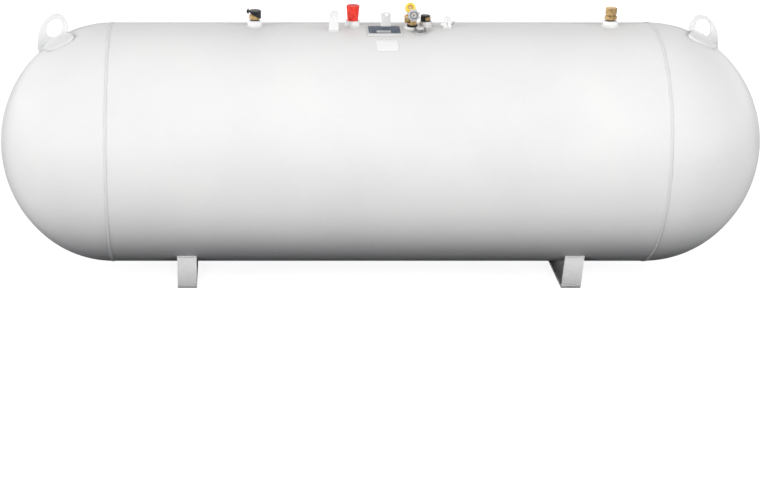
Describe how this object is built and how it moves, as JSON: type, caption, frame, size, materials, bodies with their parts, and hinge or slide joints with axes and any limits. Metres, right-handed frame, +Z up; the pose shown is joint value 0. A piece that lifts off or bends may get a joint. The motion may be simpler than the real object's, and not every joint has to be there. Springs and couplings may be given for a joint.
{
  "type": "horizontal pressure tank for liquefied gas",
  "caption": "Horizontal white steel gas tank with domed ends on U-bent legs, lifting lugs and brass valves along its crown.",
  "frame": {"origin": "on the ground under the middle of the tank", "axes": "+X along the tank to its right end, -Y towards the front with the data plate, +Z up"},
  "size_m": [3.01, 0.9542, 1.1038],
  "materials": {
    "white_paint": "gloss",
    "plate_paint": "satin",
    "brass": "machined",
    "cast_alloy": "cast",
    "black_plastic": "matte",
    "black_rubber": "matte",
    "red_rubber": "satin",
    "yellow_plastic": "gloss"
  },
  "bodies": {
    "root": {"shell": "white_paint", "left_head": "white_paint", "right_head": "white_paint", "left_girth_weld": "white_paint", "right_girth_weld": "white_paint", "left_leg": "white_paint", "right_leg": "white_paint", "left_leg_welds": "white_paint", "right_leg_welds": "white_paint", "left_lifting_lug": "white_paint", "right_lifting_lug": "white_paint", "fill_coupling": "white_paint", "relief_coupling": "white_paint", "service_coupling": "white_paint", "vapour_coupling": "white_paint", "gauge_coupling": "white_paint", "liquid_coupling": "white_paint", "left_hood_bracket": "white_paint", "centre_hood_bracket": "white_paint", "right_hood_bracket": "white_paint", "data_plate_holder": "white_paint", "data_plate": "plate_paint", "fill_valve": "brass", "relief_valve": "brass", "service_valve_body": "brass", "vapour_valve": "brass", "liquid_valve": "brass", "liquid_valve_cap": "brass", "fill_valve_cap": "black_plastic", "vapour_valve_cap": "black_plastic", "float_gauge_dial": "white_paint", "service_valve_washer": "black_rubber", "relief_valve_cap": "red_rubber", "filler_port_cap": "yellow_plastic", "float_gauge_head": "cast_alloy"},
    "handwheel": {"service_handwheel": "cast_alloy", "service_valve_stem": "brass"}
  },
  "joints": [
    {"name": "handwheel_turn", "type": "hinge", "parent": "root", "child": "handwheel", "pos_m": [0.116, -0.03297, 1.05436], "axis": [0, -0.9594, 0.282], "range_deg": [0, 810]}
  ]
}
